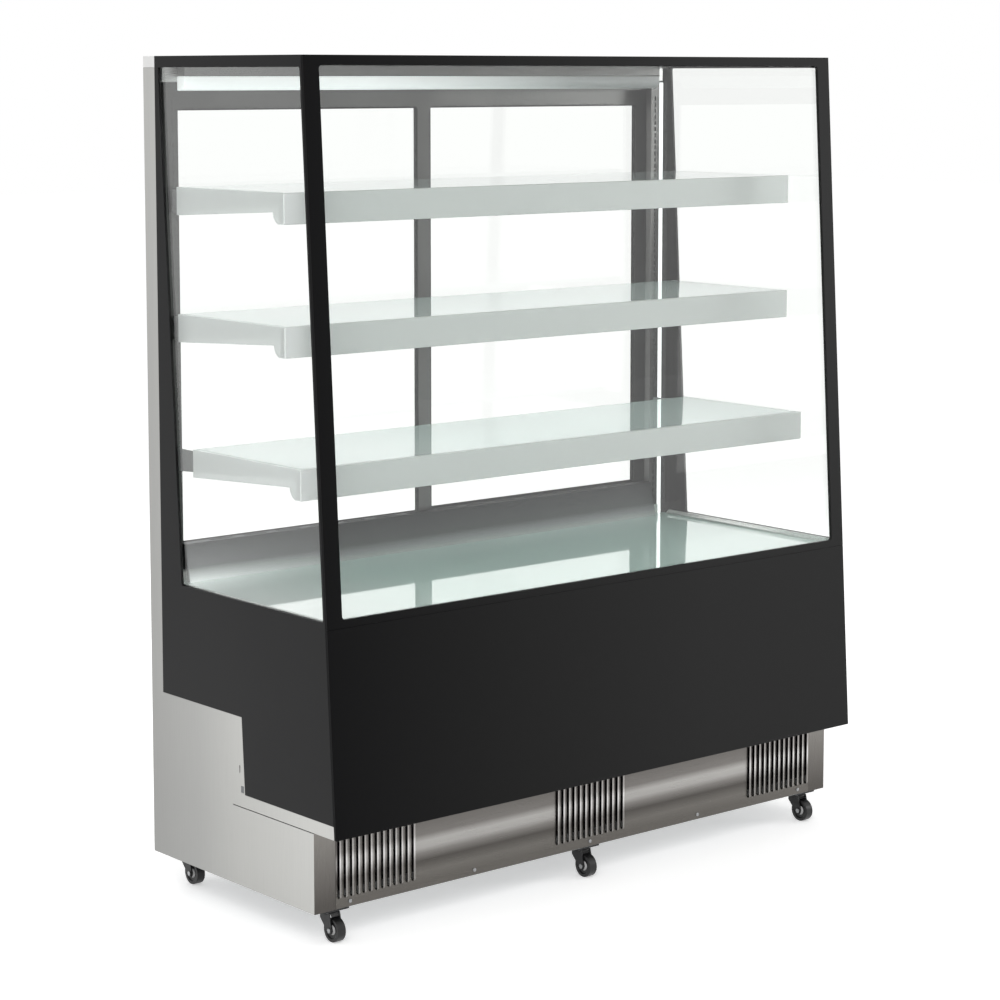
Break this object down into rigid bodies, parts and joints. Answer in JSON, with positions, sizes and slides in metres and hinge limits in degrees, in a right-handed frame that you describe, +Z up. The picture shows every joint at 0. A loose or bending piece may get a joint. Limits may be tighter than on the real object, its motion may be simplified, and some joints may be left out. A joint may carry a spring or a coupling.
{
  "type": "refrigerated display case",
  "caption": "Upright glazed refrigerated display case on casters: leaning front glass, lit glass shelves, black lower panels, stainless base with louvres and sliding rear doors.",
  "frame": {"origin": "floor level under the centre of the case's bounding box", "axes": "+Z up, -Y towards the customer's glass front, +X to the right as the customer sees it"},
  "size_m": [1.5, 0.69, 1.8],
  "materials": {
    "black_paint": "satin powder coat",
    "stainless": "brushed stainless sheet",
    "tank_skin": "foamed tub in a brushed stainless skin",
    "galvanised": "galvanised sheet",
    "aluminium": "satin anodised",
    "grey_paint": "satin powder coat",
    "clear_glass": "clear toughened glass",
    "deck_glass": "polished pale backed glass",
    "opal": "opal acrylic",
    "lamp": "lit opal lamp cover",
    "white_plastic": "moulded",
    "black_plastic": "moulded, fine texture",
    "caster_steel": "black enamelled steel",
    "wheel_nylon": "black moulded wheel",
    "coil_fins": "mill finish fins",
    "compressor_paint": "gloss black enamel",
    "motor_paint": "satin enamel",
    "copper": "drawn copper tube",
    "grey_plastic": "moulded",
    "screw_steel": "zinc plated"
  },
  "bodies": {
    "case_body": {"front_panel": "black_paint", "front_frame": "black_paint", "side_frame_left": "black_paint", "side_frame_right": "black_paint", "roof_panel": "black_paint", "side_sheets": "stainless", "kick_panel": "stainless", "rear_grille": "stainless", "insulated_tank": "tank_skin", "base_pan": "galvanised", "rear_posts": "galvanised", "evaporator_fan_panel": "galvanised", "condenser_shroud": "galvanised", "door_frame_profiles": "aluminium", "rear_header": "aluminium", "shelf_uprights": "aluminium", "canopy_lamp_housing": "aluminium", "deck_trim": "aluminium", "rear_air_panel": "grey_paint", "shelf_brackets": "grey_paint", "front_glass": "clear_glass", "side_glass": "clear_glass", "shelf_glass": "clear_glass", "deck_plate": "deck_glass", "shelf_fascia": "opal", "canopy_lamp_diffuser": "lamp", "corner_lamps": "lamp", "header_end_caps": "white_plastic", "control_panel": "black_plastic", "cable_gland": "black_plastic", "caster_mounts": "caster_steel", "evaporator_coil": "coil_fins", "condenser_coil": "coil_fins", "compressor": "compressor_paint", "fan_motors": "motor_paint", "refrigerant_pipes": "copper", "drain_set": "grey_plastic", "electrical_box": "grey_plastic", "panel_screws": "screw_steel"},
    "door_left": {"door_left_frame": "aluminium", "door_left_glass": "clear_glass", "door_left_pull": "black_plastic"},
    "door_right": {"door_right_frame": "aluminium", "door_right_glass": "clear_glass", "door_right_pull": "black_plastic"},
    "fork_front_left": {"caster_fork_front_left": "caster_steel"},
    "wheel_front_left": {"caster_wheel_front_left": "wheel_nylon"},
    "fork_front_middle": {"caster_fork_front_middle": "caster_steel"},
    "wheel_front_middle": {"caster_wheel_front_middle": "wheel_nylon"},
    "fork_front_right": {"caster_fork_front_right": "caster_steel"},
    "wheel_front_right": {"caster_wheel_front_right": "wheel_nylon"},
    "fork_rear_left": {"caster_fork_rear_left": "caster_steel"},
    "wheel_rear_left": {"caster_wheel_rear_left": "wheel_nylon"},
    "fork_rear_right": {"caster_fork_rear_right": "caster_steel"},
    "wheel_rear_right": {"caster_wheel_rear_right": "wheel_nylon"},
    "evaporator_fan_left_body": {"evaporator_fan_left": "black_plastic"},
    "evaporator_fan_right_body": {"evaporator_fan_right": "black_plastic"},
    "condenser_fan_body": {"condenser_fan": "black_plastic"},
    "power_switch_body": {"power_switch": "black_plastic"},
    "light_switch_body": {"light_switch": "black_plastic"}
  },
  "joints": [
    {"name": "door_left_slide", "type": "slide", "parent": "case_body", "child": "door_left", "axis": [1, 0, 0], "range_m": [0, 0.69]},
    {"name": "door_right_slide", "type": "slide", "parent": "case_body", "child": "door_right", "axis": [1, 0, 0], "range_m": [-0.69, 0]},
    {"name": "caster_swivel_front_left", "type": "hinge", "parent": "case_body", "child": "fork_front_left", "pos_m": [-0.69, -0.238, 0.058], "axis": [0, 0, 1], "continuous": true},
    {"name": "caster_roll_front_left", "type": "hinge", "parent": "fork_front_left", "child": "wheel_front_left", "pos_m": [-0.69, -0.256, 0.025], "axis": [1, 0, 0], "continuous": true},
    {"name": "caster_swivel_front_middle", "type": "hinge", "parent": "case_body", "child": "fork_front_middle", "pos_m": [0, -0.238, 0.058], "axis": [0, 0, 1], "continuous": true},
    {"name": "caster_roll_front_middle", "type": "hinge", "parent": "fork_front_middle", "child": "wheel_front_middle", "pos_m": [0, -0.256, 0.025], "axis": [1, 0, 0], "continuous": true},
    {"name": "caster_swivel_front_right", "type": "hinge", "parent": "case_body", "child": "fork_front_right", "pos_m": [0.69, -0.238, 0.058], "axis": [0, 0, 1], "continuous": true},
    {"name": "caster_roll_front_right", "type": "hinge", "parent": "fork_front_right", "child": "wheel_front_right", "pos_m": [0.69, -0.256, 0.025], "axis": [1, 0, 0], "continuous": true},
    {"name": "caster_swivel_rear_left", "type": "hinge", "parent": "case_body", "child": "fork_rear_left", "pos_m": [-0.69, 0.275, 0.058], "axis": [0, 0, 1], "continuous": true},
    {"name": "caster_roll_rear_left", "type": "hinge", "parent": "fork_rear_left", "child": "wheel_rear_left", "pos_m": [-0.69, 0.257, 0.025], "axis": [1, 0, 0], "continuous": true},
    {"name": "caster_swivel_rear_right", "type": "hinge", "parent": "case_body", "child": "fork_rear_right", "pos_m": [0.69, 0.275, 0.058], "axis": [0, 0, 1], "continuous": true},
    {"name": "caster_roll_rear_right", "type": "hinge", "parent": "fork_rear_right", "child": "wheel_rear_right", "pos_m": [0.69, 0.257, 0.025], "axis": [1, 0, 0], "continuous": true},
    {"name": "evaporator_fan_spin_left", "type": "hinge", "parent": "case_body", "child": "evaporator_fan_left_body", "pos_m": [-0.25, -0.17, 0.49], "axis": [0, 0, 1], "continuous": true},
    {"name": "evaporator_fan_spin_right", "type": "hinge", "parent": "case_body", "child": "evaporator_fan_right_body", "pos_m": [0.25, -0.17, 0.49], "axis": [0, 0, 1], "continuous": true},
    {"name": "condenser_fan_spin", "type": "hinge", "parent": "case_body", "child": "condenser_fan_body", "pos_m": [0.3, 0.094, 0.222], "axis": [0, 1, 0], "continuous": true},
    {"name": "power_switch_rock", "type": "hinge", "parent": "case_body", "child": "power_switch_body", "pos_m": [-0.52, 0.325, 0.376], "axis": [1, 0, 0], "range_deg": [0, 16]},
    {"name": "light_switch_rock", "type": "hinge", "parent": "case_body", "child": "light_switch_body", "pos_m": [-0.475, 0.325, 0.376], "axis": [1, 0, 0], "range_deg": [0, 16]}
  ]
}
